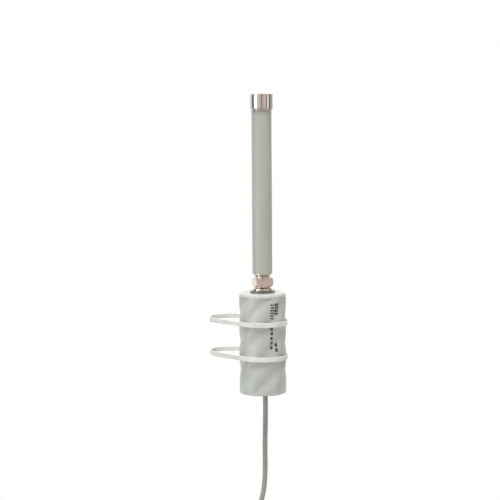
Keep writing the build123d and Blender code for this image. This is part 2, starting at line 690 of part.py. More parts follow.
def belt(grow):
    """A loop round the mast and the housing's ridges, widened by grow."""
    with BuildSketch(mode=Mode.PRIVATE) as loop:
        with BuildLine():
            CenterArc((0, 0), MAST_R + grow, 0, 360)
            CenterArc((0, HOUSING_Y), RIDGE_R + TIE_GAP + grow, 0, 360)
        make_hull()
    return loop.sketch


def mast_tie(z):
    """One cable tie at height z, with its ratchet head on the stretch towards +X."""
    outline = belt(TIE)
    opening = belt(0)
    head = Plane(
        origin=(*STRETCH_MIDDLE, z),
        x_dir=(math.sin(LEAN), -math.cos(LEAN), 0),
        z_dir=(math.cos(LEAN), math.sin(LEAN), 0),
    )
    with BuildPart() as strap:
        with BuildSketch(Plane.XY.offset(z - TIE_WIDTH / 2)):
            add(outline)
            add(opening, mode=Mode.SUBTRACT)
        extrude(amount=TIE_WIDTH)
        rims = strap.faces().filter_by(Axis.Z).edges()
        fillet(rims, TIE_ROUND)
        with BuildSketch(head.offset(-TIE / 2)) as head_base:
            Rectangle(HEAD_LENGTH, HEAD_WIDTH)
            fillet(head_base.vertices(), HEAD_ROUND)
        extrude(amount=HEAD_HEIGHT)
        with BuildSketch(head.offset(HEAD_HEIGHT - TIE / 2)):
            with Locations((PAWL_SHIFT, 0)):
                Rectangle(PAWL_WINDOW, PAWL_WINDOW)
        extrude(amount=-PAWL_DEPTH, mode=Mode.SUBTRACT)
        with BuildSketch(head.offset(TIE)):
            with Locations((HEAD_LENGTH / 2, 0)):
                Rectangle(2 * TAIL_STUB, TIE_WIDTH)
        extrude(amount=TIE)
    return strap


keep(mast_tie(TIE_LEVEL), "upper_mast_tie")
keep(mast_tie(-TIE_LEVEL), "lower_mast_tie")


# =============================== data lead ===============================
def corner_radii(points):
    """The largest arcs that a route's straight runs leave room for."""
    radii = []
    for before, corner, after in zip(points, points[1:], points[2:]):
        first = Vector(corner) - Vector(before)
        second = Vector(after) - Vector(corner)
        turn = math.radians(first.get_angle(second))
        radii.append(0.45 * min(first.length, second.length) / math.tan(turn / 2))
    return radii


lead_radii = corner_radii(LEAD_ROUTE)
print("radii of the lead, mm:", [round(r, 1) for r in lead_radii])

with BuildPart() as cable_drop:
    with BuildLine() as drop_line:
        FilletPolyline(*LEAD_ROUTE, radius=lead_radii)
    with BuildSketch(Plane(origin=drop_line.line @ 0, z_dir=drop_line.line % 0)):
        Circle(LEAD_R)
    sweep(path=drop_line.line)
keep(cable_drop, "cable_drop")

drop_length = drop_line.wires()[0].length
drop_volume = math.pi * LEAD_R**2 * drop_length
print("cable_drop length, mm:", round(drop_length, 1))
print("cable_drop volume over section times length:", round(cable_drop.part.volume / drop_volume, 4))

COIL_MIDDLE_R = (COIL_INNER_R + COIL_OUTER_R) / 2
COIL_DEPTH = COIL_OUTER_R - COIL_INNER_R + 2 * LEAD_R
COIL_WIDTH = COIL_LAYER * 2 * LEAD_R
COIL_SECTION = Plane(origin=COIL_CENTRE, x_dir=(1, 0, 0), z_dir=(0, 0, 1))
COIL_AXIS = Axis(COIL_CENTRE, (0, 1, 0))
TIE_SPACE = COIL_TIE + COIL_TIE_GAP

with BuildPart() as cable_coil:
    with BuildSketch(COIL_SECTION):
        with Locations((COIL_MIDDLE_R, 0)):
            RectangleRounded(COIL_DEPTH, COIL_WIDTH, LEAD_R)
    revolve(axis=COIL_AXIS)
keep(cable_coil, "cable_coil")

with BuildPart() as coil_ties:
    for side in (-1, 1):
        middle = Vector(*COIL_CENTRE) + Vector(0, 0, side * COIL_MIDDLE_R)
        start = middle - Vector(COIL_TIE_WIDTH / 2, 0, 0)
        with BuildSketch(Plane(origin=start, x_dir=(0, 1, 0), z_dir=(1, 0, 0))):
            RectangleRounded(COIL_WIDTH + 2 * TIE_SPACE, COIL_DEPTH + 2 * TIE_SPACE, LEAD_R + COIL_TIE)
            RectangleRounded(
                COIL_WIDTH + 2 * COIL_TIE_GAP,
                COIL_DEPTH + 2 * COIL_TIE_GAP,
                LEAD_R + COIL_TIE_GAP,
                mode=Mode.SUBTRACT,
            )
        extrude(amount=COIL_TIE_WIDTH)
keep(coil_ties, "coil_ties")

with BuildPart() as cable_tail:
    with Locations((TAIL_X, TAIL_Y, (COIL_CENTRE[2] + Z_BOOT) / 2)):
        Cylinder(LEAD_R, COIL_CENTRE[2] - Z_BOOT)
keep(cable_tail, "cable_tail")

BOOT_TOP = Plane(origin=(TAIL_X, TAIL_Y, Z_BOOT), z_dir=(0, 0, -1))

with BuildPart() as plug_boot:
    with BuildSketch(BOOT_TOP):
        Circle(BOOT_END_R)
    with BuildSketch(BOOT_TOP.offset(BOOT)):
        RectangleRounded(2 * PLUG_HALF + BOOT_RIM, PLUG_DEPTH + BOOT_RIM, BOOT_FOOT_ROUND)
    loft()
keep(plug_boot, "plug_boot")

PLUG_TOP = BOOT_TOP.offset(BOOT)

with BuildPart() as ethernet_plug:
    with BuildSketch(PLUG_TOP):
        Rectangle(2 * PLUG_HALF, PLUG_DEPTH)
    extrude(amount=PLUG_LENGTH)
    with BuildSketch(PLUG_TOP.offset(PLUG_LENGTH - CONTACT_LENGTH)):
        with Locations((0, PLUG_DEPTH / 2)):
            with GridLocations(CONTACT_PITCH, 0, CONTACT_COUNT, 1):
                Rectangle(CONTACT_WIDTH + 0.1, 3.0)
    extrude(amount=CONTACT_LENGTH + 1, mode=Mode.SUBTRACT)
    chamfer(ethernet_plug.faces().sort_by(Axis.Z)[-1].edges(), 0.4)
keep(ethernet_plug, "ethernet_plug")

with BuildPart() as plug_contacts:
    with BuildSketch(PLUG_TOP.offset(PLUG_LENGTH - CONTACT_LENGTH + 0.1)):
        with Locations((0, PLUG_DEPTH / 2 - 0.8)):
            with GridLocations(CONTACT_PITCH, 0, CONTACT_COUNT, 1):
                Rectangle(CONTACT_WIDTH, 1.2)
    extrude(amount=CONTACT_LENGTH - 0.3)
keep(plug_contacts, "plug_contacts")
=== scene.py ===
import json
import math

import bmesh
import bpy
from mathutils import Matrix, Vector


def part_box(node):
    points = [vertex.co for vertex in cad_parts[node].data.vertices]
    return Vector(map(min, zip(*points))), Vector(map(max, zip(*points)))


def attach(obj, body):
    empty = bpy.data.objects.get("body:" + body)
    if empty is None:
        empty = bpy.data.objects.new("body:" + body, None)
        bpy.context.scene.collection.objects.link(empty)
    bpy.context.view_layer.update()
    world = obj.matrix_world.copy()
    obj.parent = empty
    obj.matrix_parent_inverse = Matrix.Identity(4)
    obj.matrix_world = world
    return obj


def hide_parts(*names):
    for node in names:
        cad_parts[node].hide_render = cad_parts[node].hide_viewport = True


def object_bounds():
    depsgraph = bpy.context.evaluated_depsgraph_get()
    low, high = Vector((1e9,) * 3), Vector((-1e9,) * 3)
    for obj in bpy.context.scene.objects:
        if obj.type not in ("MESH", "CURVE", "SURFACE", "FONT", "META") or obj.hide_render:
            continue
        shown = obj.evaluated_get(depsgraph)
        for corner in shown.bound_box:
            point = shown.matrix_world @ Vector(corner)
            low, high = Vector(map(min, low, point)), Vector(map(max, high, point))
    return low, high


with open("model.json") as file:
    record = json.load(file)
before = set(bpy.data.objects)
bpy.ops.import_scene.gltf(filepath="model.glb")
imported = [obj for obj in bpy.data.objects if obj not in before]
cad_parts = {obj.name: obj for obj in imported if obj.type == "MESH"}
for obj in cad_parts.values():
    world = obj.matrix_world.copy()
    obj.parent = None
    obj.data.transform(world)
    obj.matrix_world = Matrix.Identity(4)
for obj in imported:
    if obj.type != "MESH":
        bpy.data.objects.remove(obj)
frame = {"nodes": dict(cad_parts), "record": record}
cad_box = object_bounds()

# Everything is in metres, in the frame of the CAD model: origin on the mast's axis, +Z up.
MM = 0.001


def middle(node):
    """The middle of a CAD node's box."""
    low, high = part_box(node)
    return (Vector(low) + Vector(high)) / 2


def bottom(node):
    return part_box(node)[0][2]


def top(node):
    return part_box(node)[1][2]


AXIS = middle("radome_tube")
AXIS.z = 0.0

# =============================== camera ===============================
CAMERA_AZIMUTH = math.radians(-49.0)
CAMERA_ELEVATION = math.radians(5.5)
CAMERA_ROLL = math.radians(-0.4)
CAMERA_DISTANCE = 1.5
CAMERA_ANGLE = math.radians(19.02)
LOOK_Z = 90.6 * MM
LOOK_LEFT = 12.3 * MM  # the picture's middle is this far left of the antenna's axis

right = Vector((math.cos(CAMERA_AZIMUTH), math.sin(CAMERA_AZIMUTH), 0))
level_forward = Vector((-right.y, right.x, 0))
forward = level_forward * math.cos(CAMERA_ELEVATION) - Vector((0, 0, math.sin(CAMERA_ELEVATION)))
look_at = AXIS + Vector((0, 0, LOOK_Z)) - right * LOOK_LEFT

camera_data = bpy.data.cameras.new("camera")
camera_data.angle = CAMERA_ANGLE
camera = bpy.data.objects.new("camera", camera_data)
bpy.context.scene.collection.objects.link(camera)
turn = forward.to_track_quat("-Z", "Y").to_matrix().to_4x4()
place = Matrix.Translation(look_at - forward * CAMERA_DISTANCE)
camera.matrix_world = place @ turn @ Matrix.Rotation(CAMERA_ROLL, 4, "Z")
bpy.context.scene.camera = camera


# =============================== light and stage ===============================
scene = bpy.context.scene
scene.view_settings.view_transform = "Standard"

WHITE_ROOM = (1.0, 1.0, 0.995, 1.0)
SOFT_ROOM = (0.43, 0.43, 0.42, 1.0)
FLOOR_COLOUR = (0.86, 0.86, 0.86, 1.0)
FLOOR_Z = cad_box[0][2] - 0.02
FLOOR_RADIUS = 12.0

# What the bright metal mirrors, fixed in the scene: the angle from the direction that the
# main camera looks from, in degrees, positive to its right, and the colour.
SURROUNDINGS = [
    (-180, (1.00, 1.00, 1.00)),
    (-130, (0.98, 0.97, 0.95)),
    (-112, (0.84, 0.84, 0.82)),
    (-104, (0.15, 0.15, 0.14)),
    (-82, (0.11, 0.11, 0.105)),
    (-77, (2.00, 2.00, 1.98)),
    (-50, (2.00, 2.00, 1.98)),
    (-43, (0.74, 0.71, 0.66)),
    (-28, (0.72, 0.65, 0.60)),
    (-9, (0.74, 0.65, 0.60)),
    (-4, (0.32, 0.23, 0.21)),
    (4, (0.32, 0.23, 0.21)),
    (8, (0.68, 0.47, 0.45)),
    (24, (0.71, 0.53, 0.49)),
    (32, (0.69, 0.60, 0.53)),
    (47, (0.74, 0.66, 0.59)),
    (50, (0.12, 0.11, 0.10)),
    (57, (0.12, 0.11, 0.10)),
    (60, (0.94, 0.90, 0.84)),
    (79, (1.00, 0.95, 0.90)),
    (83, (0.12, 0.12, 0.11)),
    (95, (0.12, 0.12, 0.11)),
    (101, (0.46, 0.43, 0.39)),
    (125, (0.50, 0.46, 0.42)),
    (155, (0.90, 0.88, 0.85)),
    (180, (1.00, 1.00, 1.00)),
]

# What it mirrors below and above that: (height of the direction, colour, how much of it shows).
BELOW_AND_ABOVE = [
    (-1.00, (0.20, 0.125, 0.11), 1.0),
    (-0.93, (0.22, 0.15, 0.13), 1.0),
    (-0.80, (0.42, 0.36, 0.31), 1.0),
    (-0.50, (0.46, 0.40, 0.36), 0.5),
    (-0.20, (0.50, 0.45, 0.40), 0.0),
    (0.89, (0.20, 0.165, 0.14), 0.0),
    (0.96, (0.13, 0.10, 0.08), 0.95),
    (1.00, (0.13, 0.10, 0.08), 0.95),
]


def bands(nodes, stops):
    """A colour ramp from stops of (position, colour, alpha)."""
    ramp = nodes.new("ShaderNodeValToRGB")
    steps = ramp.color_ramp.elements
    for position, colour, amount in stops[1:-1]:
        steps.new(position)
    for step, (position, colour, amount) in zip(steps, stops):
        step.position = position
        step.color = (*colour, amount)
    return ramp


def sky(world):
    """A white room to look at, uneven surroundings to mirror and a plain soft light otherwise."""
    world.use_nodes = True
    nodes, links = world.node_tree.nodes, world.node_tree.links
    nodes.clear()
    out = nodes.new("ShaderNodeOutputWorld")
    place = nodes.new("ShaderNodeTexCoord")
    apart = nodes.new("ShaderNodeSeparateXYZ")
    turned = nodes.new("ShaderNodeVectorRotate")
    turned.rotation_type = "Z_AXIS"
    turned.inputs["Angle"].default_value = -CAMERA_AZIMUTH
    links.new(place.outputs["Generated"], turned.inputs["Vector"])
    links.new(turned.outputs["Vector"], apart.inputs[0])

    minus_y = nodes.new("ShaderNodeMath")
    minus_y.operation = "MULTIPLY"
    minus_y.inputs[1].default_value = -1.0
    links.new(apart.outputs["Y"], minus_y.inputs[0])
    angle = nodes.new("ShaderNodeMath")
    angle.operation = "ARCTAN2"
    links.new(apart.outputs["X"], angle.inputs[0])
    links.new(minus_y.outputs[0], angle.inputs[1])
    share = nodes.new("ShaderNodeMapRange")
    share.inputs["From Min"].default_value = -math.pi
    share.inputs["From Max"].default_value = math.pi
    links.new(angle.outputs[0], share.inputs["Value"])

    stops = [((degrees + 180) / 360, colour, 1.0) for degrees, colour in SURROUNDINGS]
    around = bands(nodes, stops)
    links.new(share.outputs["Result"], around.inputs["Fac"])

    height = nodes.new("ShaderNodeMapRange")
    height.inputs["From Min"].default_value = -1.0
    links.new(apart.outputs["Z"], height.inputs["Value"])
    stops = [((up + 1) / 2, colour, amount) for up, colour, amount in BELOW_AND_ABOVE]
    ends = bands(nodes, stops)
    links.new(height.outputs["Result"], ends.inputs["Fac"])
    whole = nodes.new("ShaderNodeMix")
    whole.data_type = "RGBA"
    links.new(ends.outputs["Alpha"], whole.inputs[0])
    links.new(around.outputs["Color"], whole.inputs[6])
    links.new(ends.outputs["Color"], whole.inputs[7])

    path = nodes.new("ShaderNodeLightPath")
    white = nodes.new("ShaderNodeBackground")
    white.inputs["Color"].default_value = WHITE_ROOM
    soft = nodes.new("ShaderNodeBackground")
    soft.inputs["Color"].default_value = SOFT_ROOM
    mirrored = nodes.new("ShaderNodeBackground")
    links.new(whole.outputs[2], mirrored.inputs["Color"])
    glossy = nodes.new("ShaderNodeMixShader")
    links.new(path.outputs["Is Glossy Ray"], glossy.inputs[0])
    links.new(soft.outputs[0], glossy.inputs[1])
    links.new(mirrored.outputs[0], glossy.inputs[2])
    seen = nodes.new("ShaderNodeMixShader")
    links.new(path.outputs["Is Camera Ray"], seen.inputs[0])
    links.new(glossy.outputs[0], seen.inputs[1])
    links.new(white.outputs[0], seen.inputs[2])
    links.new(seen.outputs[0], out.inputs["Surface"])


def panel_light(name, degrees, height, distance, size, power, colour=(1, 1, 1)):
    """A square soft light aimed at the housing, at an angle from the main camera's side."""
    data = bpy.data.lights.new(name, "AREA")
    data.shape = "SQUARE"
    data.size = size
    data.energy = power
    data.color = colour
    light = bpy.data.objects.new(name, data)
    scene.collection.objects.link(light)
    around = math.radians(degrees)
    out = -level_forward * math.cos(around) + right * math.sin(around)
    light.location = AXIS + out * distance + Vector((0, 0, height))
    light.rotation_euler = (AXIS - light.location).to_track_quat("-Z", "Y").to_euler()
    light.visible_glossy = False


def floor_disc():
    bpy.ops.mesh.primitive_circle_add(vertices=96, radius=FLOOR_RADIUS, fill_type="NGON")
    disc = bpy.context.active_object
    disc.name = "floor"
    disc.location = (0, 0, FLOOR_Z)
    paint = bpy.data.materials.new("floor_paint")
    paint.use_nodes = True
    nodes, links = paint.node_tree.nodes, paint.node_tree.links
    shader = nodes["Principled BSDF"]
    shader.inputs["Base Color"].default_value = FLOOR_COLOUR
    shader.inputs["Roughness"].default_value = 0.9
    shader.inputs["Specular IOR Level"].default_value = 0.0
    white = nodes.new("ShaderNodeEmission")
    white.inputs["Color"].default_value = WHITE_ROOM
    path = nodes.new("ShaderNodeLightPath")
    mixed = nodes.new("ShaderNodeMixShader")
    links.new(path.outputs["Is Camera Ray"], mixed.inputs[0])
    links.new(shader.outputs[0], mixed.inputs[1])
    links.new(white.outputs[0], mixed.inputs[2])
    links.new(mixed.outputs[0], nodes["Material Output"].inputs["Surface"])
    disc.data.materials.append(paint)
    disc.visible_glossy = False


scene.world = bpy.data.worlds.new("studio")
sky(scene.world)
floor_disc()
panel_light("key_light", -58, 0.45, 1.3, 0.6, 2.5, (0.92, 1.0, 1.0))
panel_light("fill_light", 70, 0.1, 1.2, 0.7, 0.7, (1.0, 0.95, 0.85))
panel_light("top_light", -10, 1.45, 0.4, 0.5, 24.0)
panel_light("back_light", 180, 0.4, 1.3, 0.8, 3.2)


# =============================== materials ===============================
COAT_ROUGHNESS = 0.12
GLOW_DEPTH = 1.5 * MM  # how far light goes into a soft plastic
GLOW_TINT = (1.0, 0.9, 0.7)
PATCH_EDGES = (0.32, 0.68)  # noise values between which one patch turns into the other
SPECK_EDGES = (0.62, 0.76)  # noise values between which a speck fades in
GLOSS_EDGES = (0.3, 0.7)
GLOSS_FINER = 2.7  # how much finer the gloss varies than the colour


def surface(
    name,
    colour,
    other,
    scale=40.0,
    roughness=(0.4, 0.55),
    grain=900.0,
    bump=0.02,
    metallic=0.0,
    stretch=(1, 1, 1),
    coat=0.0,
    specular=0.5,
    subsurface=0.0,
    transmission=0.0,
    speckle=None,
):
    """A procedural finish: two close colours in soft patches, uneven gloss and a fine grain."""
    made = bpy.data.materials.new(name)
    made.use_nodes = True
    nodes, links = made.node_tree.nodes, made.node_tree.links
    shader = nodes["Principled BSDF"]
    shader.inputs["Metallic"].default_value = metallic
    shader.inputs["Coat Weight"].default_value = coat
    shader.inputs["Coat Roughness"].default_value = COAT_ROUGHNESS
    shader.inputs["Specular IOR Level"].default_value = specular
    shader.inputs["Transmission Weight"].default_value = transmission
    shader.inputs["Subsurface Weight"].default_value = subsurface
    shader.inputs["Subsurface Radius"].default_value = GLOW_TINT
    shader.inputs["Subsurface Scale"].default_value = GLOW_DEPTH

    place = nodes.new("ShaderNodeTexCoord")
    stretched = nodes.new("ShaderNodeMapping")
    stretched.inputs["Scale"].default_value = stretch
    links.new(place.outputs["Object"], stretched.inputs["Vector"])

    patches = nodes.new("ShaderNodeTexNoise")
    patches.inputs["Scale"].default_value = scale
    patches.inputs["Detail"].default_value = 6.0
    links.new(stretched.outputs[0], patches.inputs["Vector"])
    tint = nodes.new("ShaderNodeValToRGB")
    for step, position, shade in zip(tint.color_ramp.elements, PATCH_EDGES, (other, colour)):
        step.position = position
        step.color = (*shade, 1)
    links.new(patches.outputs["Fac"], tint.inputs["Fac"])
    painted = tint.outputs["Color"]
    if speckle:
        size, spot_colour, amount = speckle
        spots = nodes.new("ShaderNodeTexNoise")
        spots.inputs["Scale"].default_value = size
        spots.inputs["Detail"].default_value = 3.0
        links.new(place.outputs["Object"], spots.inputs["Vector"])
        chosen = nodes.new("ShaderNodeMapRange")
        chosen.inputs["From Min"].default_value = SPECK_EDGES[0]
        chosen.inputs["From Max"].default_value = SPECK_EDGES[1]
        chosen.inputs["To Max"].default_value = amount
        links.new(spots.outputs["Fac"], chosen.inputs["Value"])
        spotted = nodes.new("ShaderNodeMix")
        spotted.data_type = "RGBA"
        spotted.inputs[7].default_value = (*spot_colour, 1)
        links.new(chosen.outputs["Result"], spotted.inputs[0])
        links.new(painted, spotted.inputs[6])
        painted = spotted.outputs[2]
    links.new(painted, shader.inputs["Base Color"])

    gloss = nodes.new("ShaderNodeTexNoise")
    gloss.inputs["Scale"].default_value = scale * GLOSS_FINER
    gloss.inputs["Detail"].default_value = 8.0
    links.new(stretched.outputs[0], gloss.inputs["Vector"])
    rough = nodes.new("ShaderNodeMapRange")
    rough.inputs["From Min"].default_value = GLOSS_EDGES[0]
    rough.inputs["From Max"].default_value = GLOSS_EDGES[1]
    rough.inputs["To Min"].default_value = roughness[0]
    rough.inputs["To Max"].default_value = roughness[1]
    links.new(gloss.outputs["Fac"], rough.inputs["Value"])
    links.new(rough.outputs["Result"], shader.inputs["Roughness"])

    fine = nodes.new("ShaderNodeTexNoise")
    fine.inputs["Scale"].default_value = grain
    fine.inputs["Detail"].default_value = 4.0
    links.new(stretched.outputs[0], fine.inputs["Vector"])
    raised = nodes.new("ShaderNodeBump")
    raised.inputs["Strength"].default_value = 1.0
    raised.inputs["Distance"].default_value = bump * MM
    links.new(fine.outputs["Fac"], raised.inputs["Height"])
    links.new(raised.outputs["Normal"], shader.inputs["Normal"])
    return made


FINISHES = {
    "housing_plastic": dict(
        colour=(0.535, 0.55, 0.53),
        other=(0.47, 0.49, 0.46),
        scale=28,
        roughness=(0.30, 0.42),
        grain=700,
        bump=0.03,
        coat=0.2,
        speckle=(420, (0.38, 0.37, 0.32), 0.35),
    ),
    "seal_rubber": dict(
        colour=(0.03, 0.03, 0.03),
        other=(0.015, 0.015, 0.016),
        roughness=(0.5, 0.7),
    ),
    "stainless_screws": dict(
        colour=(0.60, 0.59, 0.57),
        other=(0.50, 0.49, 0.47),
        metallic=1,
        roughness=(0.22, 0.38),
    ),
    "grommet_rubber": dict(
        colour=(0.11, 0.11, 0.105),
        other=(0.08, 0.08, 0.078),
        roughness=(0.5, 0.7),
    ),
    "gasket_rubber": dict(
        colour=(0.15, 0.145, 0.125),
        other=(0.10, 0.10, 0.085),
        scale=90,
        roughness=(0.16, 0.3),
        specular=0.9,
        coat=0.6,
    ),
    "nickel_plate": dict(
        colour=(0.82, 0.76, 0.71),
        other=(0.68, 0.62, 0.57),
        metallic=1,
        scale=160,
        roughness=(0.10, 0.22),
        grain=2600,
        bump=0.006,
        speckle=(800, (0.46, 0.40, 0.35), 0.35),
    ),
    "nut_nickel": dict(
        colour=(0.99, 0.93, 0.86),
        other=(0.88, 0.80, 0.73),
        metallic=1,
        scale=120,
        roughness=(0.20, 0.34),
        grain=170,
        bump=0.22,
        speckle=(900, (0.50, 0.42, 0.36), 0.4),
    ),
    "chrome_cap": dict(
        colour=(0.76, 0.745, 0.735),
        other=(0.68, 0.665, 0.65),
        metallic=1,
        scale=110,
        roughness=(0.035, 0.09),
        grain=2600,
        bump=0.003,
        stretch=(1, 1, 0.3),
        speckle=(1100, (0.50, 0.48, 0.45), 0.3),
    ),
    "white_fluoropolymer": dict(
        colour=(0.84, 0.84, 0.81),
        other=(0.76, 0.76, 0.73),
        roughness=(0.3, 0.45),
        subsurface=0.2,
    ),
    "gold_contact": dict(
        colour=(0.95, 0.68, 0.28),
        other=(0.80, 0.54, 0.20),
        metallic=1,
        scale=200,
        roughness=(0.15, 0.3),
    ),
    "carrier_plastic": dict(
        colour=(0.03, 0.03, 0.032),
        other=(0.02, 0.02, 0.021),
        roughness=(0.4, 0.6),
    ),
    "green_board": dict(
        colour=(0.02, 0.13, 0.05),
        other=(0.012, 0.09, 0.03),
        scale=300,
        roughness=(0.25, 0.4),
        grain=1600,
    ),
    "jack_plastic": dict(
        colour=(0.025, 0.025, 0.025),
        other=(0.015, 0.015, 0.015),
        roughness=(0.35, 0.5),
    ),
    "clear_plug": dict(
        colour=(0.93, 0.95, 0.96),
        other=(0.86, 0.89, 0.90),
        roughness=(0.04, 0.12),
        transmission=0.85,
        bump=0.004,
    ),
    "cable_jacket": dict(
        colour=(0.355, 0.325, 0.305),
        other=(0.30, 0.275, 0.255),
        scale=70,
        roughness=(0.45, 0.62),
        grain=1500,
        bump=0.03,
        speckle=(500, (0.18, 0.16, 0.15), 0.4),
    ),
    "tinned_can": dict(
        colour=(0.70, 0.70, 0.68),
        other=(0.60, 0.60, 0.58),
        metallic=1,
        roughness=(0.2, 0.4),
    ),
    "transformer_black": dict(
        colour=(0.02, 0.02, 0.022),
        other=(0.012, 0.012, 0.012),
        roughness=(0.3, 0.5),
    ),
    "capacitor_sleeve": dict(
        colour=(0.02, 0.03, 0.09),
        other=(0.015, 0.02, 0.06),
        roughness=(0.2, 0.35),
    ),
    "coax_jacket": dict(
        colour=(0.03, 0.03, 0.03),
        other=(0.02, 0.02, 0.02),
        roughness=(0.35, 0.5),
    ),
    "tie_nylon": dict(
        colour=(0.78, 0.78, 0.73),
        other=(0.70, 0.70, 0.65),
        scale=60,
        roughness=(0.28, 0.42),
        grain=1100,
        bump=0.02,
        subsurface=0.25,
        speckle=(300, (0.55, 0.54, 0.46), 0.3),
    ),
    "coil_tie_plastic": dict(
        colour=(0.78, 0.78, 0.72),
        other=(0.70, 0.70, 0.64),
        roughness=(0.3, 0.45),
        subsurface=0.2,
    ),
    "boot_plastic": dict(
        colour=(0.30, 0.275, 0.255),
        other=(0.26, 0.24, 0.22),
        roughness=(0.4, 0.55),
    ),
    "radome_fibreglass": dict(
        colour=(0.455, 0.455, 0.41),
        other=(0.41, 0.41, 0.37),
        scale=55,
        roughness=(0.34, 0.48),
        grain=520,
        bump=0.035,
        stretch=(1, 1, 0.18),
        coat=0.12,
        speckle=(650, (0.33, 0.33, 0.29), 0.45),
    ),
    "radiator_brass": dict(
        colour=(0.80, 0.56, 0.24),
        other=(0.66, 0.44, 0.18),
        metallic=1,
        roughness=(0.25, 0.4),
    ),
    "spacer_foam": dict(
        colour=(0.86, 0.86, 0.84),
        other=(0.76, 0.76, 0.74),
        roughness=(0.8, 0.95),
        grain=350,
        bump=0.2,
    ),
}
finishes = {slot: surface(slot, **how) for slot, how in FINISHES.items()}

for part in frame["record"]["subparts"]:
    node = frame["nodes"][part["node"]]
    node.data.materials.clear()
    node.data.materials.append(finishes[part["material_slot"]])


PRINT_INK = surface(
    "print_ink",
    colour=(0.022, 0.022, 0.02),
    other=(0.05, 0.05, 0.045),
    scale=900,
    roughness=(0.35, 0.6),
    speckle=(1500, (0.20, 0.20, 0.18), 0.6),
)


WIRE_COLOURS = [
    (0.85, 0.62, 0.40),
    (0.80, 0.22, 0.03),
    (0.62, 0.80, 0.60),
    (0.03, 0.12, 0.50),
    (0.55, 0.65, 0.85),
    (0.04, 0.34, 0.08),
    (0.66, 0.52, 0.42),
    (0.20, 0.09, 0.04),
]


WIRE_FINISHES = [
    surface(
        f"wire_{number}",
        colour=colour,
        other=tuple(0.85 * channel for channel in colour),
        scale=600,
        roughness=(0.3, 0.42),
        grain=2000,
        bump=0.01,
    )
    for number, colour in enumerate(WIRE_COLOURS, start=1)
]


# =============================== mesh pieces ===============================
def finished(name, work, body, finish, sharp=35.0):
    """Turns a bmesh into a piece that rides on a body."""
    bmesh.ops.recalc_face_normals(work, faces=work.faces)
    mesh = bpy.data.meshes.new(name)
    work.to_mesh(mesh)
    work.free()
    mesh.shade_smooth()
    mesh.set_sharp_from_angle(angle=math.radians(sharp))
    mesh.materials.append(finish)
    made = bpy.data.objects.new(name, mesh)
    scene.collection.objects.link(made)
    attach(made, body)
    return made


def bridge(work, rings, closed):
    """Joins rings of corners into a skin, and the last ring to the first if it's closed."""
    following = rings[1:] + rings[:1] if closed else rings[1:]
    for this, after in zip(rings, following):
        for k, corner in enumerate(this):
            near = (k + 1) % len(this)
            work.faces.new((corner, this[near], after[near], after[k]))


def turned(outline, segments=120, radius_at=None):
    """A solid turned about the antenna's axis from a closed outline of (radius, height) in mm."""
    work = bmesh.new()
    rings = []
    for radius, height in outline:
        corners = []
        for k in range(segments):
            around = 2 * math.pi * k / segments
            here = radius_at(radius, around, height) if radius_at else radius
            spot = Vector((here * math.cos(around), here * math.sin(around), height))
            corners.append(work.verts.new(AXIS + spot * MM))
        rings.append(corners)
    bridge(work, rings, closed=True)
    return work


# ---- the jack with its real thread, in mm ----
THREAD_R = 7.9
THREAD_PITCH = 25.4 / 24
THREAD_DEPTH = 0.55
FLANGE_LOW, FLANGE_HIGH = 49.8, 52.1
FLANGE_EDGE = 0.35
JACK_TAIL_R = 6.0
JACK_CORE_R = 3.2
JACK_MOUTH_R = 4.15
MOUTH_FLOOR = 53.1
THREAD_ROWS_IN_PITCH = 10
FLANK = 1.25  # over 1, so the groove gets a flat bottom


def thread_radius(radius, around, height):
    """The radius of the thread's flank at an angle and a height."""
    if radius != THREAD_R:
        return radius
    across = (height / THREAD_PITCH - around / (2 * math.pi)) % 1
    return radius - THREAD_DEPTH * min(1.0, FLANK * (1 - abs(2 * across - 1)))


def jack():
    low, high = bottom("jack_body") / MM, top("jack_body") / MM
    flange_r = (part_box("jack_body")[1][0] - AXIS.x) / MM
    outline = [
        (JACK_CORE_R, low),
        (JACK_TAIL_R, low),
        (JACK_TAIL_R, FLANGE_LOW),
        (flange_r - FLANGE_EDGE, FLANGE_LOW),
        (flange_r, FLANGE_LOW + FLANGE_EDGE),
        (flange_r, FLANGE_HIGH - 2 * FLANGE_EDGE),
        (flange_r - FLANGE_EDGE / 3, FLANGE_HIGH - FLANGE_EDGE),
        (flange_r - FLANGE_EDGE, FLANGE_HIGH),
        (THREAD_R - THREAD_DEPTH, FLANGE_HIGH),
    ]
    start = FLANGE_HIGH + THREAD_DEPTH
    rows = int((high - FLANGE_HIGH - 2 * THREAD_DEPTH) / THREAD_PITCH * THREAD_ROWS_IN_PITCH)
    for row in range(rows + 1):
        outline.append((THREAD_R, start + row * THREAD_PITCH / THREAD_ROWS_IN_PITCH))
    outline += [
        (THREAD_R - THREAD_DEPTH, high),
        (JACK_MOUTH_R, high),
        (JACK_MOUTH_R, MOUTH_FLOOR),
        (JACK_CORE_R, MOUTH_FLOOR),
    ]
    work = turned(outline, radius_at=thread_radius)
    plate = finishes["nickel_plate"]
    made = finished("threaded_jack", work, "housing", plate)
    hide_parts("jack_body")


jack()

# ---- printed marks on the housing: plain dashes that spell nothing ----
# Each column: its angle to the right of the side that the main camera faces and its width, in
# degrees; the first row's distance below the lid, the rows' pitch, their number and their height,
# in mm.
MARK_COLUMNS = [
    (23.5, 9.5, 9.2, 2.72, 6, 1.5),
    (36.0, 11.0, 9.0, 3.1, 4, 2.5),
    (21.5, 6.5, 33.0, 4.7, 5, 3.2),
    (35.0, 7.0, 49.5, 5.0, 2, 3.6),
]
MARK_GAPS = (0.58, 0.34, 0.72, 0.46)  # where a row is parted, as a share of its width
MARK_GAP = 0.12
MARK_STEPS = 5
INK = 0.05 * MM
LID_EDGE = 1.2 * MM  # how far the lid's top is above the line that the rows are placed from
RAY_START = 40.0 * MM


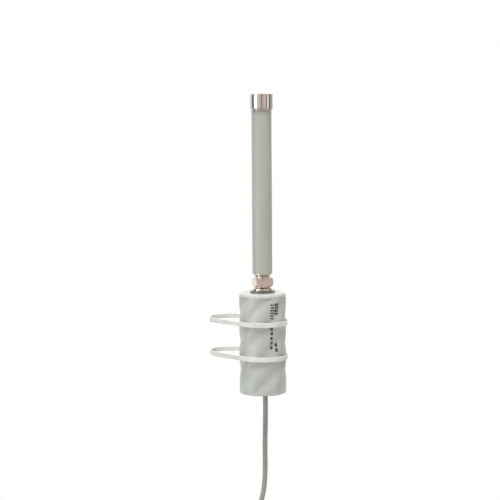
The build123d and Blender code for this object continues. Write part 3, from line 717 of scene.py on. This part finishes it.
def on_barrel(degrees, height):
    """The point of the barrel's skin in a direction from its axis."""
    around = math.radians(degrees)
    out = -level_forward * math.cos(around) + right * math.sin(around)
    start = AXIS + out * RAY_START + Vector((0, 0, height))
    spot, normal = frame["nodes"]["housing_barrel"].ray_cast(start, -out)[1:3]
    return spot + normal * INK


def dash(work, left, width, middle_height, tall):
    """A thin patch of ink that lies on the barrel."""
    rows = []
    for step in range(MARK_STEPS):
        height = middle_height + tall * (step / (MARK_STEPS - 1) - 0.5)
        shares = [k / (MARK_STEPS - 1) for k in range(MARK_STEPS)]
        spots = [on_barrel(left + width * share, height) for share in shares]
        rows.append([work.verts.new(spot) for spot in spots])
    faces = []
    for this, after in zip(rows, rows[1:]):
        for k in range(MARK_STEPS - 1):
            faces.append(work.faces.new((this[k], this[k + 1], after[k + 1], after[k])))
    bmesh.ops.solidify(work, geom=faces, thickness=INK)


def printed_marks():
    lid = top("top_end_cap") - LID_EDGE
    work = bmesh.new()
    for angle, width, first, pitch, count, tall in MARK_COLUMNS:
        left = angle - width / 2
        for row in range(count):
            height = lid - (first + row * pitch) * MM
            parted = MARK_GAPS[row % len(MARK_GAPS)]
            dash(work, left, width * (parted - MARK_GAP / 2), height, tall * MM)
            second = parted + MARK_GAP / 2
            dash(work, left + width * second, width * (1 - second), height, tall * MM)
    finished("printed_marks", work, "housing", PRINT_INK)


printed_marks()


# ---- what the lead's plug has on it ----
PLUG = middle("ethernet_plug")
PLUG_HALF_DEPTH = 4.0 * MM
CONTACT_SIDE = math.copysign(1.0, middle("plug_contacts").y - PLUG.y)
RIB_COUNT = 5
RIB = 0.5 * MM
RIB_POINTS = 48
RIB_SECTION = 8
RIB_MARGINS = (0.6, 0.8)  # spare length before the first rib and in all, in ribs' spacings
BOOT_NARROW = 3.4 * MM  # half the boot's width at its round end
BOOT_SQUARING = 0.55  # how square the ribs are by the wide end
# Stations of the latch: height above the plug's nose, distance off its face, width.
LATCH = [
    (0.6, 0.1, 6.2),
    (2.0, 0.5, 6.2),
    (5.0, 1.2, 6.2),
    (6.2, 1.5, 4.0),
    (10.0, 2.3, 3.6),
    (15.0, 3.3, 3.4),
    (17.0, 3.5, 3.2),
]
LATCH_HALF = 0.4 * MM
LATCH_EDGE = 0.15 * MM
WIRE_PITCH = 1.02 * MM
WIRE_R = 0.42 * MM
WIRE_OFFSET = 2.2 * MM  # from the plug's middle to the wires beside the contacts
WIRE_ENDS = (0.5 * MM, 2.0 * MM)  # below the plug's top and below the contacts' top
WIRE_STRAIGHTS = (4.0 * MM, 3.0 * MM)


def boot_ribs():
    """Raised ribs round the boot, from its round end to its square one."""
    work = bmesh.new()
    low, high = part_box("plug_boot")
    for rib in range(RIB_COUNT):
        share = (rib + RIB_MARGINS[0]) / (RIB_COUNT + RIB_MARGINS[1])
        half_x = BOOT_NARROW + ((high[0] - low[0]) / 2 - BOOT_NARROW) * share
        half_y = BOOT_NARROW + ((high[1] - low[1]) / 2 - BOOT_NARROW) * share
        centre = Vector((PLUG.x, PLUG.y, high[2] - (high[2] - low[2]) * share))
        power = 1.0 - BOOT_SQUARING * share
        rings = []
        for k in range(RIB_POINTS):
            around = 2 * math.pi * k / RIB_POINTS
            across, along = math.cos(around), math.sin(around)
            foot = Vector((
                half_x * math.copysign(abs(across) ** power, across),
                half_y * math.copysign(abs(along) ** power, along),
                0,
            ))
            out = Vector((across, along, 0))
            ring = []
            for step in range(RIB_SECTION):
                turned_by = 2 * math.pi * step / RIB_SECTION
                offset = out * math.cos(turned_by) + Vector((0, 0, math.sin(turned_by)))
                ring.append(work.verts.new(centre + foot + offset * RIB))
            rings.append(ring)
        bridge(work, rings, closed=True)
    plastic = finishes["boot_plastic"]
    return finished("boot_ribs", work, "housing", plastic, sharp=80)


def plug_latch():
    """The sprung latch on the side of the plug that has no contacts."""
    work = bmesh.new()
    nose = bottom("ethernet_plug")
    rings = []
    for height, off, width in LATCH:
        y = PLUG.y - CONTACT_SIDE * (PLUG_HALF_DEPTH + off * MM)
        ring = []
        for x, shift in ((-1, -1), (1, -1), (1, 1), (-1, 1)):
            corner = (PLUG.x + x * width / 2 * MM, y + shift * LATCH_HALF, nose + height * MM)
            ring.append(work.verts.new(corner))
        rings.append(ring)
    bridge(work, rings, closed=False)
    work.faces.new(rings[0])
    work.faces.new(rings[-1])
    bmesh.ops.bevel(work, geom=work.edges[:], offset=LATCH_EDGE, segments=2, affect="EDGES")
    return finished("plug_latch", work, "housing", finishes["clear_plug"])


def plug_wires():
    """The eight wires that run to the contacts inside the clear plug."""
    data = bpy.data.curves.new("plug_wires", "CURVE")
    data.dimensions = "3D"
    data.bevel_depth = WIRE_R
    data.bevel_resolution = 3
    data.use_fill_caps = True
    near_contacts = PLUG.y + CONTACT_SIDE * WIRE_OFFSET
    start = top("ethernet_plug") - WIRE_ENDS[0]
    end = top("plug_contacts") - WIRE_ENDS[1]
    for k, finish in enumerate(WIRE_FINISHES):
        x = PLUG.x + (k - (len(WIRE_FINISHES) - 1) / 2) * WIRE_PITCH
        spots = [
            (x, PLUG.y, start),
            (x, PLUG.y, start - WIRE_STRAIGHTS[0]),
            (x, near_contacts, end + WIRE_STRAIGHTS[1]),
            (x, near_contacts, end),
        ]
        spline = data.splines.new("NURBS")
        spline.points.add(len(spots) - 1)
        for control, spot in zip(spline.points, spots):
            control.co = (*spot, 1.0)
        spline.order_u = 3
        spline.use_endpoint_u = True
        spline.material_index = k
        data.materials.append(finish)
    made = bpy.data.objects.new("plug_wires", data)
    scene.collection.objects.link(made)
    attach(made, "housing")
    return made


# =============================== the data lead ===============================
# The route of the lead, in millimetres from its exit's axis, top to bottom.
LEAD_Y = AXIS.y - 3.0 * MM
LEAD_RADIUS = 2.5 * MM
LEAD_ROUTE = [
    (0.0, 0.0, -55.8),
    (0.0, 0.0, -82.0),
    (-0.7, 0.5, -110.0),
    (-0.4, 0.2, -137.0),
    (-4.0, 0.0, -159.0),
    (-14.5, 0.0, -177.0),
    (-23.0, 0.0, -196.0),
    (-25.2, 0.0, -214.0),
]
COIL_MIDDLE = Vector((0.0, -10.0, -216.0))
COIL_POINTS = 16  # control points for each turn
COIL_TURNS = 5
# Where a turn lies, as its radius and its distance to the back, at the start of each turn, and
# the share of the turn over which it shifts to the next place.
COIL_LAYERS = [(25.0, 10.0), (25.0, 5.0), (25.0, 0.0), (25.0, -5.0), (29.33, -2.5), (29.33, 2.5)]
COIL_SHIFTS = [(0.0, 0.16), (0.0, 0.14), (0.0, 0.14), (0.04, 0.18), (0.0, 0.12)]
TAIL_ENDS = (-226.0, -236.0, -245.0, -250.0)


def lead_points():
    """The lead's control points: the drop, the turns of the coil and the tail."""
    points = [Vector(p) for p in LEAD_ROUTE]
    widen = 1 / math.cos(math.pi / COIL_POINTS)
    for step in range(1, COIL_TURNS * COIL_POINTS):
        turn, part = divmod(step / COIL_POINTS, 1)
        begin, end = COIL_SHIFTS[int(turn)]
        moved = min(max((part - begin) / (end - begin), 0), 1)
        moved = moved * moved * (3 - 2 * moved)
        here, there = COIL_LAYERS[int(turn)], COIL_LAYERS[int(turn) + 1]
        radius = (here[0] + (there[0] - here[0]) * moved) * widen
        back = here[1] + (there[1] - here[1]) * moved
        around = math.pi + 2 * math.pi * part
        offset = Vector((radius * math.cos(around), back, radius * math.sin(around)))
        points.append(COIL_MIDDLE + offset)
    last_radius, last_back = COIL_LAYERS[-1]
    tail = COIL_MIDDLE + Vector((-last_radius, last_back, 0))
    points += [tail] + [Vector((tail.x, tail.y, z)) for z in TAIL_ENDS]
    return [Vector((0, LEAD_Y, 0)) + p * MM for p in points]


def lead():
    """The whole lead as one curve."""
    points = lead_points()
    data = bpy.data.curves.new("data_lead", "CURVE")
    data.dimensions = "3D"
    data.bevel_depth = LEAD_RADIUS
    data.bevel_resolution = 6
    data.resolution_u = 8
    data.use_fill_caps = True
    spline = data.splines.new("NURBS")
    spline.points.add(len(points) - 1)
    for control, point in zip(spline.points, points):
        control.co = (*point, 1.0)
    spline.order_u = 3
    spline.use_endpoint_u = True
    cable = bpy.data.objects.new("data_lead", data)
    scene.collection.objects.link(cable)
    data.materials.append(finishes["cable_jacket"])
    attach(cable, "housing")
    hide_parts("cable_drop", "cable_coil", "cable_tail")
    carried = ("coil_ties", "plug_boot", "ethernet_plug", "plug_contacts")
    on_it = [frame["nodes"][name] for name in carried]
    on_it += [boot_ribs(), plug_latch(), plug_wires()]


lead()
